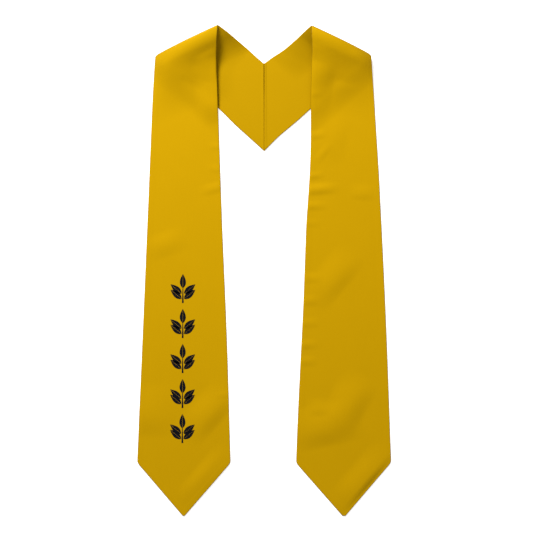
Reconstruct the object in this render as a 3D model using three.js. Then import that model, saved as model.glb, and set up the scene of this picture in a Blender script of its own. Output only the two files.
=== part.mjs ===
// A graduation stole laid flat, as it lies on a table: two long bands of satin, sewn together in a
// point at the centre back, folded over at the shoulders and brought down side by side in front.
// Each band is a face cloth and a backing cloth, sewn together round the edge and turned.
// Millimetres and degrees, +Z up; +Y runs from the points to the shoulders, and the origin is on
// the table under the middle of the stole.
import * as THREE from "three";

// Sizes of the bands, measured on the flat cloth.
const FRONT_LENGTH = 762; // from the shoulder crease to the point, down the middle of a band
const SHOULDER_WIDTH = 97.5;
const CENTRE_BACK_WIDTH = 106;
const HEM_WIDTH = 149.5; // the widest place, where the point begins
const POINT_HEIGHT = 85;
const POINT_BLUNT = 3; // the width of the turned tip
const EDGE_HOLLOW = 0.3; // how far the long edges dip inside a straight line

// How the bands are laid.
const NECK_SPACING = 248; // between the middles of the two bands at the shoulder creases
const BACK_SLOPE = 40.5; // how steeply the back falls to the centre seam
const FRONT_SPLAY = 0.2; // how far each front turns outwards from straight down
const SEAM_GAP = 0.3; // between the two bands at the centre back

// Where the long edges are drawn in. edge is 1 at the neck and -1 outside, along and reach are
// shares of FRONT_LENGTH from the crease, and pull a share of EDGE_PULL.
const EDGE_PULL = 3.3;
const SEAM_FADE = 30; // how far from the centre seam the edges are free to move
const EDGE_PULLS = {
  left: [
    { edge: 1, along: -0.092, reach: 0.144, pull: -0.5 },
    { edge: 1, along: -0.047, reach: 0.045, pull: -0.3 },
    { edge: -1, along: -0.138, reach: 0.066, pull: 0.6 },
    { edge: 1, along: 0.63, reach: 0.26, pull: -0.36 },
  ],
  right: [
    { edge: 1, along: -0.1, reach: 0.068, pull: 1 },
    { edge: -1, along: -0.262, reach: 0.092, pull: 0.55 },
    { edge: -1, along: 0.06, reach: 0.25, pull: 0.85 },
    { edge: 1, along: 0.25, reach: 0.157, pull: 0.9 },
    { edge: -1, along: 0.577, reach: 0.354, pull: -0.45 },
    { edge: 1, along: 0.853, reach: 0.341, pull: -0.8 },
  ],
};

// Thicknesses.
const CLOTH = 1.0;
const LAYER_GAP = 0.3; // between a band's face and its backing
const BAND_GAP = 0.3; // between a front and the back that it lies on

// The loop at a shoulder, seen along its crease.
const CREASE_RADIUS = 2.2;
const HEEL_RADIUS = 70; // where the back leaves the table
const UNDER_LENGTH = 24; // straight cloth between the heel and the crease
const RISE_LENGTH = 2; // straight cloth between the crease and the crest
const CREST_RADIUS = 36;
const LANDING_RADIUS = 180;
const HEEL_ANGLE = 30; // how steeply the back climbs to the crease
const RISE_ANGLE = 3; // how steeply the front climbs on from the crease
const FALL_ANGLE = 24; // how steeply the front comes down from the crest
const LEAST_DROP = 1; // of the straight stretch between the crest and the landing
const NECK_SHARE = 1; // how much of the climb to the crease is there at the band's neck edge
const MIDDLE_SHARE = 0.88;
const OUTER_SHARE = 0.16;
const STEP_RUN = 36; // how far past the back's edge the front takes to reach the table
const STEP_EASE = 16; // how far off the crease the front starts to do so

// Soft folds. along is a share of FRONT_LENGTH from the crease, less than 0 on the back, across a
// share of the half width towards the neck, turn the angle from straight across, reach and spread shares of
// HEM_WIDTH along and across the fold, lean how much steeper the side nearer the point is than the
// other, and lift a share of FOLD_HEIGHT.
const FOLD_HEIGHT = 4;
const SOFT_FOLDS = {
  left: [
    { along: -0.075, across: 0.95, turn: 0, reach: 0.34, spread: 0.24, lean: 0, lift: 0.55 },
    { along: -0.085, across: -0.4, turn: -40, reach: 0.3, spread: 0.3, lean: 0, lift: 0.65 },
    { along: 0.105, across: 0.95, turn: -80, reach: 0.38, spread: 0.24, lean: 0, lift: 1.1 },
    { along: 0.43, across: -0.52, turn: 20, reach: 0.3, spread: 0.15, lean: 0, lift: 0.22 },
    { along: 0.79, across: -0.8, turn: 0, reach: 0.36, spread: 0.3, lean: 0.2, lift: 0.42 },
    { along: 0.785, across: 0.58, turn: 50, reach: 0.42, spread: 0.2, lean: 0.2, lift: 0.6 },
    { along: 0.915, across: 0.58, turn: 49, reach: 0.46, spread: 0.17, lean: -0.2, lift: 0.4 },
  ],
  right: [
    { along: -0.1, across: 0.95, turn: 0, reach: 0.36, spread: 0.22, lean: 0, lift: 1.15 },
    { along: 0.062, across: 0.66, turn: 0, reach: 0.2, spread: 0.2, lean: 0, lift: 0.28 },
    { along: 0.068, across: -0.12, turn: 0, reach: 0.24, spread: 0.2, lean: 0, lift: -0.35 },
    { along: 0.095, across: 0.95, turn: -80, reach: 0.38, spread: 0.24, lean: 0, lift: 1.1 },
    { along: 0.21, across: 0.3, turn: -79, reach: 0.3, spread: 0.22, lean: 0.2, lift: 0.22 },
    { along: 0.324, across: -0.55, turn: 4, reach: 0.18, spread: 0.1, lean: 0.2, lift: 0.16 },
    { along: 0.503, across: 0.22, turn: -50, reach: 0.42, spread: 0.2, lean: 0.2, lift: 0.42 },
    { along: 0.815, across: 0.42, turn: -12, reach: 0.44, spread: 0.25, lean: 0.15, lift: 0.68 },
    { along: 0.765, across: -0.15, turn: -62, reach: 0.36, spread: 0.23, lean: 0.15, lift: 0.6 },
    { along: 0.775, across: 0.58, turn: 0, reach: 0.15, spread: 0.11, lean: 0.2, lift: 0.2 },
    { along: 0.925, across: -0.66, turn: -49, reach: 0.52, spread: 0.15, lean: 0.5, lift: 0.62 },
  ],
};

// Facets.
const COLUMNS = 8;
const ARC_STEP = 22; // the largest turn between two rows round the crease, in degrees
const SOFT_ARC_STEP = 5;
const BACK_ROWS = 5;
const TURNING_ROWS = 3; // rows that turn from lying along the crease to lying square to the band
const TURNING_ROOM = 20; // how far past the loop they are square
const FRONT_ROWS = 24;
const POINT_ROWS = 4;

const BAND_THICKNESS = 2 * CLOTH + LAYER_GAP;
const TABLE_LEVEL = BAND_THICKNESS / 2; // the height of the middle of a band that lies on the table
const STACKED_LEVEL = TABLE_LEVEL + BAND_THICKNESS + BAND_GAP;

const radians = THREE.MathUtils.degToRad;
const creaseAngle = radians((90 - FRONT_SPLAY - BACK_SLOPE) / 2); // of the crease, from straight across
const bandAngle = radians((90 - FRONT_SPLAY + BACK_SLOPE) / 2); // between a band and its crease
const alongCrease = new THREE.Vector2(-Math.cos(creaseAngle), Math.sin(creaseAngle));
const offCrease = new THREE.Vector2(-Math.sin(creaseAngle), -Math.cos(creaseAngle));
const pointStart = FRONT_LENGTH - POINT_HEIGHT;

const lerp = THREE.MathUtils.lerp;
const smooth = THREE.MathUtils.smoothstep;
const bump = (x) => (Math.abs(x) < 1 ? (1 - x * x) ** 2 : 0);

// The loop as a chain of straights and arcs. heading is the cloth's direction, from 180 degrees on
// the back, where it runs out to the crease, to 0 on the front, where it runs back over itself.
function loopPieces() {
  const arc = (radius, from, to, step) => ({
    length: radius * Math.abs(radians(to - from)),
    from: radians(from),
    to: radians(to),
    rows: Math.ceil(Math.abs(to - from) / step),
  });
  const straight = (length, heading) => ({
    length,
    from: radians(heading),
    to: radians(heading),
    rows: 1,
  });
  const heel = arc(HEEL_RADIUS, 180, 180 - HEEL_ANGLE, SOFT_ARC_STEP);
  const under = straight(UNDER_LENGTH, 180 - HEEL_ANGLE);
  const creaseBelow = arc(CREASE_RADIUS, 180 - HEEL_ANGLE, 90, ARC_STEP);
  const creaseAbove = arc(CREASE_RADIUS, 90, RISE_ANGLE, ARC_STEP);
  const rise = straight(RISE_LENGTH, RISE_ANGLE);
  const crest = arc(CREST_RADIUS, RISE_ANGLE, -FALL_ANGLE, SOFT_ARC_STEP);
  const landing = arc(LANDING_RADIUS, -FALL_ANGLE, 0, SOFT_ARC_STEP);
  const lift = (radius, angle) => radius * (1 - Math.cos(radians(angle)));
  const climb =
    lift(HEEL_RADIUS, HEEL_ANGLE) +
    UNDER_LENGTH * Math.sin(radians(HEEL_ANGLE)) +
    CREASE_RADIUS * (Math.cos(radians(HEEL_ANGLE)) + Math.cos(radians(RISE_ANGLE))) +
    RISE_LENGTH * Math.sin(radians(RISE_ANGLE)) +
    lift(CREST_RADIUS, RISE_ANGLE);
  const drop = climb - (STACKED_LEVEL - TABLE_LEVEL) - lift(CREST_RADIUS + LANDING_RADIUS, FALL_ANGLE);
  const fall = straight(Math.max(drop, LEAST_DROP) / Math.sin(radians(FALL_ANGLE)), -FALL_ANGLE);
  return { before: [heel, under, creaseBelow], after: [creaseAbove, rise, crest, fall, landing] };
}

// Follows the loop and notes where each piece begins: its arc length from the crease, its distance
// from the crease line on the table, and its height.
function loopTable() {
  const { before, after } = loopPieces();
  const pieces = [...before, ...after];
  let reached = -before.reduce((sum, piece) => sum + piece.length, 0);
  let place = new THREE.Vector2(0, TABLE_LEVEL);
  let outermost = 0;
  for (const piece of pieces) {
    piece.start = reached;
    piece.place = place;
    place = pointOn(piece, piece.length);
    reached += piece.length;
    if (piece === before[before.length - 1]) outermost = place.x;
  }
  for (const piece of pieces) piece.place.x -= outermost;
  const end = pointOn(pieces[pieces.length - 1], pieces[pieces.length - 1].length);
  const crease = { from: before[2], to: after[1] };
  return { pieces, crease, begin: pieces[0].start, finish: reached, end };
}

function pointOn(piece, run) {
  const bend = (piece.to - piece.from) / piece.length;
  const heading = piece.from + bend * run;
  if (Math.abs(bend) < 1e-9) {
    return new THREE.Vector2(Math.cos(heading), Math.sin(heading)).multiplyScalar(run).add(piece.place);
  }
  return new THREE.Vector2(
    piece.place.x + (Math.sin(heading) - Math.sin(piece.from)) / bend,
    piece.place.y - (Math.cos(heading) - Math.cos(piece.from)) / bend,
  );
}

const loop = loopTable();

// Where the cloth lies at arc length run past the crease: its distance off the crease line, its
// height, and the way its face looks.
function loopAt(run) {
  if (run <= loop.begin) {
    const start = loop.pieces[0].place;
    return { off: start.x + loop.begin - run, height: TABLE_LEVEL, faceOff: 0, faceUp: -1 };
  }
  if (run >= loop.finish) {
    return { off: loop.end.x + run - loop.finish, height: loop.end.y, faceOff: 0, faceUp: 1 };
  }
  const piece = loop.pieces.find((one) => run <= one.start + one.length) ?? loop.pieces.at(-1);
  const place = pointOn(piece, run - piece.start);
  const heading = lerp(piece.from, piece.to, (run - piece.start) / piece.length);
  return { off: place.x, height: place.y, faceOff: -Math.sin(heading), faceUp: Math.cos(heading) };
}

// Half the width of the flat band at a distance past the crease, which is negative on the back.
function halfWidth(along) {
  if (along < 0) {
    const backLength = NECK_SPACING / 2 / Math.cos(radians(BACK_SLOPE));
    return lerp(SHOULDER_WIDTH, CENTRE_BACK_WIDTH, -along / backLength) / 2;
  }
  if (along < pointStart) {
    const share = along / pointStart;
    return lerp(SHOULDER_WIDTH, HEM_WIDTH, share) / 2 - 4 * EDGE_HOLLOW * share * (1 - share);
  }
  return lerp(HEM_WIDTH, POINT_BLUNT, (along - pointStart) / POINT_HEIGHT) / 2;
}

const runOf = (along, across) => along * Math.sin(bandAngle) + across * Math.cos(bandAngle);

// The place on the table under a point of the flat band, with x outwards from the centre back.
function layOut(along, across) {
  const { off } = loopAt(runOf(along, across));
  const beside = across * Math.sin(bandAngle) - along * Math.cos(bandAngle);
  return new THREE.Vector2(NECK_SPACING / 2, 0)
    .addScaledVector(alongCrease, beside)
    .addScaledVector(offCrease, off);
}

const SEARCH_STEPS = 40;
const SEARCH_REACH = 0.1;

// Walks along one edge of the band, on side +1 at the neck and -1 outside, to where test is zero.
function edgeWhere(side, guess, test) {
  let along = guess;
  for (let i = 0; i < SEARCH_STEPS; i++) {
    const here = test(along, side * halfWidth(along));
    const ahead = along + SEARCH_REACH;
    const slope = (test(ahead, side * halfWidth(ahead)) - here) / SEARCH_REACH;
    along -= here / slope;
  }
  return along;
}

const seamTest = (along, across) => layOut(along, across).x - SEAM_GAP / 2;
const seamRow = [1, -1].map((side) => edgeWhere(side, -NECK_SPACING, seamTest));
const creaseRow = (run) => [1, -1].map((side) => edgeWhere(side, run, (a, b) => runOf(a, b) - run));

// The lower edge of the back, which the front steps down from.
const backCorner = layOut(seamRow[1], -halfWidth(seamRow[1]));
const heelRow = creaseRow(loop.begin);
const heelCorner = layOut(heelRow[1], -halfWidth(heelRow[1]));
const backEdge = heelCorner.clone().sub(backCorner).normalize();
function pastBackEdge(place) {
  const from = place.clone().sub(backCorner);
  return backEdge.y * from.x - backEdge.x * from.y;
}

// How much of the climb to the crease there is at a place across the band: the fold stands high at
// the neck and lies nearly flat at its outer end.
function loopShare(along, across) {
  const place = across / halfWidth(along);
  const lean = (NECK_SHARE - OUTER_SHARE) / 2;
  const dome = MIDDLE_SHARE - (NECK_SHARE + OUTER_SHARE) / 2;
  return MIDDLE_SHARE + lean * place - dome * place ** 2;
}

// The loop's height where only a share of the climb is there. The crease keeps its own bend.
function settledHeight(run, height, share) {
  const { from, to } = loop.crease;
  if (run < from.start) return lerp(TABLE_LEVEL, height, share);
  const lowered = (1 - share) * (from.place.y - TABLE_LEVEL);
  if (run < to.start) return height - lowered;
  return lerp(height, STACKED_LEVEL, lowered / (to.place.y - STACKED_LEVEL));
}

// How far across the band a point lies once its edges are drawn in.
function drawn(name, along, across) {
  const share = across / halfWidth(along);
  let inward = 0;
  for (const { edge, along: middle, reach, pull } of EDGE_PULLS[name]) {
    if (share * edge > 0) inward += edge * pull * bump((along / FRONT_LENGTH - middle) / reach);
  }
  return across - inward * EDGE_PULL * share ** 2 * smooth(layOut(along, across).x, 0, SEAM_FADE);
}

function softFolds(name, along, across) {
  let height = 0;
  for (const fold of SOFT_FOLDS[name]) {
    const middle = fold.along * FRONT_LENGTH;
    const dt = along - middle;
    const dw = across - fold.across * halfWidth(middle);
    const turn = radians(fold.turn);
    const lengthwise = (dw * Math.cos(turn) - dt * Math.sin(turn)) / (fold.reach * HEM_WIDTH);
    const sideways = (dw * Math.sin(turn) + dt * Math.cos(turn)) / (fold.spread * HEM_WIDTH);
    const leaning = sideways / (1 - Math.sign(sideways) * fold.lean);
    height += fold.lift * FOLD_HEIGHT * bump(lengthwise) * bump(leaning);
  }
  return height;
}

// A point of a band in space, offset mm from the middle of its thickness towards the face.
function bandPoint(name, along, cutAcross, offset) {
  const across = drawn(name, along, cutAcross);
  const run = runOf(along, across);
  const { off, height, faceOff, faceUp } = loopAt(run);
  const place = layOut(along, across).addScaledVector(offCrease, faceOff * offset);
  let z = settledHeight(run, height, loopShare(along, cutAcross)) + faceUp * offset;
  z += softFolds(name, along, across);
  if (run > 0) {
    const drop = (STACKED_LEVEL - TABLE_LEVEL) * smooth(pastBackEdge(place), 0, STEP_RUN);
    z -= drop * smooth(off, 0, STEP_EASE);
  }
  return new THREE.Vector3(name === "left" ? -place.x : place.x, place.y, z);
}

// The rows of facets across a band, each as where it meets the neck edge and the outer edge.
function bandRows() {
  const between = (from, to, count) =>
    Array.from({ length: count }, (_, i) => from.map((value, k) => lerp(value, to[k], (i + 1) / count)));
  const rows = [seamRow, ...between(seamRow, heelRow, BACK_ROWS)];
  for (const piece of loop.pieces) {
    for (let i = 1; i <= piece.rows; i++) {
      rows.push(creaseRow(piece.start + (piece.length * i) / piece.rows));
    }
  }
  const square = Math.max(...rows.at(-1)) + TURNING_ROOM;
  rows.push(...between(rows.at(-1), [square, square], TURNING_ROWS));
  rows.push(...between([square, square], [pointStart, pointStart], FRONT_ROWS));
  rows.push(...between([pointStart, pointStart], [FRONT_LENGTH, FRONT_LENGTH], POINT_ROWS));
  return rows;
}

const rows = bandRows();

// One cloth of a band as a closed shell, between two offsets from the middle of the thickness.
function clothGeometry(name, low, high) {
  const positions = [];
  for (const offset of [low, high]) {
    for (const [neck, outer] of rows) {
      for (let column = 0; column <= COLUMNS; column++) {
        const share = column / COLUMNS;
        const along = lerp(neck, outer, share);
        const across = lerp(halfWidth(neck), -halfWidth(outer), share);
        positions.push(...bandPoint(name, along, across, offset).toArray());
      }
    }
  }
  const width = COLUMNS + 1;
  const layer = rows.length * width;
  const faces = [];
  const quad = (a, b, c, d) => faces.push(a, b, c, a, c, d);
  for (let row = 0; row + 1 < rows.length; row++) {
    for (let column = 0; column < COLUMNS; column++) {
      const corner = row * width + column;
      quad(corner, corner + 1, corner + width + 1, corner + width);
      quad(layer + corner, layer + corner + width, layer + corner + width + 1, layer + corner + 1);
    }
    const neck = row * width;
    const outer = neck + COLUMNS;
    quad(neck, neck + width, layer + neck + width, layer + neck);
    quad(outer, layer + outer, layer + outer + width, outer + width);
  }
  for (let column = 0; column < COLUMNS; column++) {
    const last = (rows.length - 1) * width + column;
    quad(column, layer + column, layer + column + 1, column + 1);
    quad(last, last + 1, layer + last + 1, layer + last);
  }
  return closedGeometry(positions, name === "left" ? reversed(faces) : faces);
}

function reversed(faces) {
  const turned = [];
  for (let i = 0; i < faces.length; i += 3) turned.push(faces[i], faces[i + 2], faces[i + 1]);
  return turned;
}

function closedGeometry(positions, faces) {
  const geometry = new THREE.BufferGeometry();
  geometry.setAttribute("position", new THREE.Float32BufferAttribute(positions, 3));
  geometry.setIndex(faces);
  geometry.computeVertexNormals();
  return geometry;
}

const satin = new THREE.MeshStandardMaterial({ color: 0xd9a406, roughness: 0.5, metalness: 0 });
const backingSatin = new THREE.MeshStandardMaterial({ color: 0xd2a006, roughness: 0.55, metalness: 0 });

function namedMesh(name, geometry, material) {
  const mesh = new THREE.Mesh(geometry, material);
  mesh.name = name;
  return mesh;
}

const stole = new THREE.Group();
for (const side of ["left", "right"]) {
  const inner = LAYER_GAP / 2;
  const outer = inner + CLOTH;
  stole.add(namedMesh(`${side}_face`, clothGeometry(side, inner, outer), satin));
  stole.add(namedMesh(`${side}_backing`, clothGeometry(side, -outer, -inner), backingSatin));
}

// The origin goes under the middle of the stole.
const middle = new THREE.Box3().setFromObject(stole).getCenter(new THREE.Vector3());
stole.position.set(-middle.x, -middle.y, 0);

export default stole;
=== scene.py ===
import math

import bpy
import numpy as np
from bpy.props import FloatProperty, FloatVectorProperty, IntProperty, PointerProperty
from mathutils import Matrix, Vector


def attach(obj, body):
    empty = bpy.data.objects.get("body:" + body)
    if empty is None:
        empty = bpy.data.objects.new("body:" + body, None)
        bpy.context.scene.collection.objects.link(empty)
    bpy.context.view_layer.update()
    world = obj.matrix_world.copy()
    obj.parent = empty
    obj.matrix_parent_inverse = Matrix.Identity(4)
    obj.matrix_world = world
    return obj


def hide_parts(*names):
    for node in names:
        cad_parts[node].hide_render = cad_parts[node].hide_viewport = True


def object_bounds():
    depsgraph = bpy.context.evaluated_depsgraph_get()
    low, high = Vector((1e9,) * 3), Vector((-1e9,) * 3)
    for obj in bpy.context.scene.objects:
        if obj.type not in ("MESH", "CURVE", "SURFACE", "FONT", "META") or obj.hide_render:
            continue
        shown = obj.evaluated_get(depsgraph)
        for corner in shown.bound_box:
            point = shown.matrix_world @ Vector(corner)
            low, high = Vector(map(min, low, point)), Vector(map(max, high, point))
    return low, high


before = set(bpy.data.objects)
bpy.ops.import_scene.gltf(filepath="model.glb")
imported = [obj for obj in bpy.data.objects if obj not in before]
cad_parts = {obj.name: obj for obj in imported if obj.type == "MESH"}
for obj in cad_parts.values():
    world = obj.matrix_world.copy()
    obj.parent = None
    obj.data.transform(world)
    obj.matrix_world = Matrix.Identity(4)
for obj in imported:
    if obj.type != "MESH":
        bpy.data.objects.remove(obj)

bl_info = {
    "name": "Graduation stole",
    "version": (1, 0, 0),
    "blender": (4, 5, 0),
    "location": "3D View > Sidebar > Stole",
    "description": "Makes the cloths, the back seam and the print of a stole that is laid flat",
    "category": "Add Mesh",
}

CAD_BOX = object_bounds()
BODY = "root"
SIDES = ("left", "right")
MM = 0.001

# The least angle of a sharp edge, the samples for the cut's area, how far the cloths' inner sides sink
# into the gap between them, the step over which a print's normal is measured, the print's gap to the
# cloth, and half the table's width.
SHARP_ANGLE = math.radians(60)
AREA_SAMPLES = 4000
INNER_SINK = 0.02 * MM
NORMAL_STEP = 0.2 * MM
PRINT_STANDOFF = 0.03 * MM
TABLE_REACH = 15.0

# The satin: picks from one tie of a warp thread to the next, how far the next thread's ties are moved
# on, how sharp a tie is, and how dark the painted shade makes the weave's hollows, the rolled edges and
# the cloth turned away from the view.
PICKS_PER_TIE = 5.0
TIE_STEP = 0.4
TIE_START = 0.38
TIE_STEEPNESS = 8.0
STREAK_SCALE = (900, 30, 1)
CLOUD_SCALE = 22.0
STREAK_DEPTH = 0.04
WEAVE_BRIGHTNESS = 1.03
HOLLOW_SHADE = 0.08
ROLLED_EDGE_SHADE = 0.2
RIM_SHADE = {"From Min": 0.04, "From Max": 0.5, "To Min": 1.0, "To Max": 0.5}
SPECULAR_GOLD = (1.0, 0.6, 0.02, 1.0)
SHEEN_GOLD = (1.0, 0.6, 0.05, 1.0)

# The points of the sprig's grids, the shares that shape it, and the points and sides of the threads.
LEAF_GRID = (6, 22)
STEM_GRID = (3, 30)
LEAF_FULLNESS = 0.8
LEAF_STANDOFF = 0.75
BARE_STEM = 0.14
STEM_TAPER = 0.6
CORD_POINTS = 60
CORD_SIDES = 10
STITCH_POINTS = 8
STITCH_SIDES = 8

# The sizes that the sprig's and the seam's node trees take, with the kinds of their sockets.
SPRIG_SIZES = dict.fromkeys(
    ("Height", "Leaf length", "Leaf width", "Leaf angle", "Vein width", "Stem width"), "Float"
)
SPRIG_SIZES["Leaf pairs"] = "Int"
SEAM_SIZES = dict.fromkeys(
    ("Cord width", "Top drop", "Foot drop", "Stitch pitch", "Stitch length", "Stitch width"), "Float"
)
SEAM_SIZES.update({"Stitch slant": "Float", "Stitch scatter": "Float", "Seed": "Int"})

# Each light's size and its place over the table.
LIGHTS = {"key": (0.9, (-0.9, 2.05, 1.6)), "fill": (2.0, (0.8, -1.0, 2.2))}

# Broad soft folds, as the frame has them. A row's columns are: the share of the front's length from the
# shoulder crease, less than 0 on the back; the share of the half width towards the neck; the turn from
# straight across in degrees; the reach and the spread, as shares of the hem's width; the lean, which is
# how much steeper the side nearer the point is; and the lift, as a share of the fold height.
SOFT_FOLDS = {
    "left": [
        (-0.075, 0.95, 0, 0.34, 0.24, 0, 0.55),
        (-0.085, -0.4, -40, 0.3, 0.3, 0, 0.65),
        (0.105, 0.95, -80, 0.38, 0.24, 0, 1.1),
        (0.43, -0.52, 20, 0.3, 0.15, 0, 0.22),
        (0.79, -0.8, 0, 0.36, 0.3, 0.2, 0.42),
        (0.785, 0.58, 50, 0.42, 0.2, 0.2, 0.6),
        (0.915, 0.58, 49, 0.46, 0.17, -0.2, 0.4),
    ],
    "right": [
        (-0.1, 0.95, 0, 0.36, 0.22, 0, 1.15),
        (0.062, 0.66, 0, 0.2, 0.2, 0, 0.28),
        (0.068, -0.12, 0, 0.24, 0.2, 0, -0.35),
        (0.095, 0.95, -80, 0.38, 0.24, 0, 1.1),
        (0.21, 0.3, -79, 0.3, 0.22, 0.2, 0.22),
        (0.324, -0.55, 4, 0.18, 0.1, 0.2, 0.16),
        (0.503, 0.22, -50, 0.42, 0.2, 0.2, 0.42),
        (0.815, 0.42, -12, 0.44, 0.25, 0.15, 0.68),
        (0.765, -0.15, -62, 0.36, 0.23, 0.15, 0.6),
        (0.775, 0.58, 0, 0.15, 0.11, 0.2, 0.2),
        (0.925, -0.66, -49, 0.52, 0.15, 0.5, 0.62),
    ],
}

# Where the long edges are drawn in, as the frame has them. A row's columns are: the edge, 1 at the neck
# and -1 outside; the place and the reach, as shares of the front's length from the crease; and the pull,
# as a share of the edge pull.
EDGE_PULLS = {
    "left": [
        (1, -0.092, 0.144, -0.5),
        (1, -0.047, 0.045, -0.3),
        (-1, -0.138, 0.066, 0.6),
        (1, 0.63, 0.26, -0.36),
    ],
    "right": [
        (1, -0.1, 0.068, 1),
        (-1, -0.262, 0.092, 0.55),
        (-1, 0.06, 0.25, 0.85),
        (1, 0.25, 0.157, 0.9),
        (-1, 0.577, 0.354, -0.45),
        (1, 0.853, 0.341, -0.8),
    ],
}

# Puckers where the edge seam draws the face together, and low swells just past the creases, in the
# same columns as the folds, with lift a share of the pucker height.
PUCKERS = {
    "left": [
        (0.065, 0.8, -20, 0.2, 0.14, 0, 1.4),
        (0.036, 0.72, 25, 0.18, 0.12, -0.4, 1.3),
        (0.076, 0.15, -30, 0.2, 0.12, 0.2, 1.1),
        (0.13, 0.52, -50, 0.32, 0.15, 0, 1.7),
        (0.225, 0.92, -8, 0.12, 0.05, 0.05, 0.5),
        (0.272, 0.92, -8, 0.14, 0.055, 0.05, 0.5),
        (0.312, 0.84, 14, 0.2, 0.07, 0.05, 0.9),
        (0.745, 0.92, 6, 0.12, 0.05, 0.1, 0.4),
    ],
    "right": [
        (0.026, 0.82, 20, 0.2, 0.12, 0, 1.8),
        (0.034, -0.6, 24, 0.17, 0.1, -0.2, 1.2),
        (0.068, -0.05, 10, 0.24, 0.15, 0.2, 1.4),
        (0.115, 0.92, -4, 0.12, 0.05, 0.1, 0.5),
        (0.201, 0.88, -8, 0.17, 0.06, 0.05, 0.9),
        (0.238, 0.6, -48, 0.17, 0.06, 0.05, 0.6),
        (0.286, 0.9, -6, 0.16, 0.052, 0.05, 0.9),
        (0.3145, 0.74, -4, 0.28, 0.074, 0.05, 1.8),
        (0.349, 0.88, 0, 0.2, 0.06, 0.05, 1),
        (0.385, 0.9, 2, 0.14, 0.055, 0.05, 0.5),
        (0.501, 0.86, 0, 0.16, 0.07, 0.05, 0.8),
        (0.548, 0.88, 0, 0.15, 0.07, 0.05, 0.9),
        (0.595, 0.88, 0, 0.15, 0.065, 0.05, 0.7),
        (0.64, 0.88, 0, 0.15, 0.065, 0.05, 0.9),
        (0.675, 0.88, 0, 0.15, 0.065, 0.05, 0.8),
    ],
}


def number(name, description, default, **more):
    return FloatProperty(name=name, description=description, default=default, **more)


def length(name, description, millimetres):
    return number(name, description, millimetres * MM, unit="LENGTH")


def angle(name, description, degrees):
    return number(name, description, math.radians(degrees), subtype="ANGLE", unit="ROTATION")


def share(name, description, default):
    return number(name, description, default, min=0, max=1, subtype="FACTOR")


def colour(name, description, red, green, blue):
    return FloatVectorProperty(
        name=name, description=description, default=(red, green, blue), min=0, max=1, subtype="COLOR"
    )


class StoleCut(bpy.types.PropertyGroup):
    """The flat cut of one band."""

    front_length: length("Front length", "From the shoulder crease to the point", 762)
    shoulder_width: length("Shoulder width", "Width of a band at the shoulder crease", 97.5)
    centre_back_width: length("Centre back width", "Width of a band at the centre seam", 106)
    hem_width: length("Hem width", "Widest place of a band, above the point", 149.5)
    point_height: length("Point height", "From the widest place to the tip", 85)
    point_blunt: length("Tip width", "Width of the turned tip", 3)
    edge_hollow: length("Edge hollow", "How far the long edges dip inside a straight line", 0.3)
    corner_round: length("Corner rounding", "Length over which the hem's corners turn", 7)


class StoleLay(bpy.types.PropertyGroup):
    """How the bands lie on the table."""

    neck_spacing: length("Neck spacing", "Between the middles of the bands at the creases", 248)
    back_slope: angle("Back slope", "How steeply the back falls to the centre seam", 40.5)
    front_splay: angle("Front splay", "How far each front turns outwards", 0.2)
    seam_gap: length("Seam gap", "Between the two bands at the centre back", 0.3)
    edge_pull: length("Edge pull", "How far a long edge is drawn in at most", 3.3)
    seam_fade: length("Seam fade", "How far from the centre seam the edges are free", 30)
    crease_radius: length("Crease radius", "Bend of the cloth at the shoulder crease", 2.2)
    heel_radius: length("Heel radius", "Bend where the back leaves the table", 70)
    under_length: length("Under length", "Straight cloth between the heel and the crease", 24)
    rise_length: length("Rise length", "Straight cloth between the crease and the crest", 2)
    crest_radius: length("Crest radius", "Bend of the front at its highest place", 36)
    landing_radius: length("Landing radius", "Bend where the front meets the back", 180)
    heel_angle: angle("Heel angle", "How steeply the back climbs to the crease", 30)
    rise_angle: angle("Rise angle", "How steeply the front climbs on from the crease", 3)
    fall_angle: angle("Fall angle", "How steeply the front comes down from the crest", 24)
    neck_share: share("Neck share", "How much of the climb to the crease is there at the neck edge", 1)
    middle_share: share("Middle share", "How much of it is there in the middle of the band", 0.88)
    outer_share: share("Outer share", "How much of it is there at the outer edge", 0.16)
    step_run: length("Step run", "How far past the back's edge the front meets the table", 36)
    step_ease: length("Step ease", "How far off the crease the front starts to step down", 16)
    fold_height: length("Fold height", "Height of the broadest soft fold", 4)
    pucker_height: length("Pucker height", "Height of a small pucker at an edge", 0.65)
    corner_pull: length("Corner pull", "How far the crease's ends round off", 2.4)


class StoleCloth(bpy.types.PropertyGroup):
    """The satin and how the edges are sewn and turned."""

    thickness: length("Cloth thickness", "Thickness of one cloth with its backing", 1)
    layer_gap: length("Layer gap", "Between the face and the backing", 0.3)
    band_gap: length("Band gap", "Between a front and the back under it", 0.3)
    roll_radius: length("Edge roll", "How far in from the edge the cloth rolls over", 1.3)
    allowance: length("Seam allowance", "Width of the turned-in cloth along the edges", 9)
    allowance_rise: length("Allowance rise", "How much the turned-in cloth lifts the face", 0.1)
    facet: length("Facet size", "Spacing of the mesh on the flat parts", 2.2)
    gold: colour("Gold", "Colour of the face satin", 0.505, 0.283, 0.0012)
    backing_gold: colour("Backing gold", "Colour of the backing satin", 0.455, 0.255, 0.0012)
    thread_gold: colour("Thread", "Colour of the sewing thread", 0.42, 0.23, 0.002)
    roughness: share("Roughness", "Roughness of the satin", 0.55)
    lustre: share("Lustre", "How much of the light the satin reflects in its own colour", 0.035)
    sheen: share("Sheen", "Soft glow of the satin's loose fibres", 0.05)
    thread_pitch: length("Thread pitch", "Spacing of the satin's warp threads", 0.3)


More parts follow.
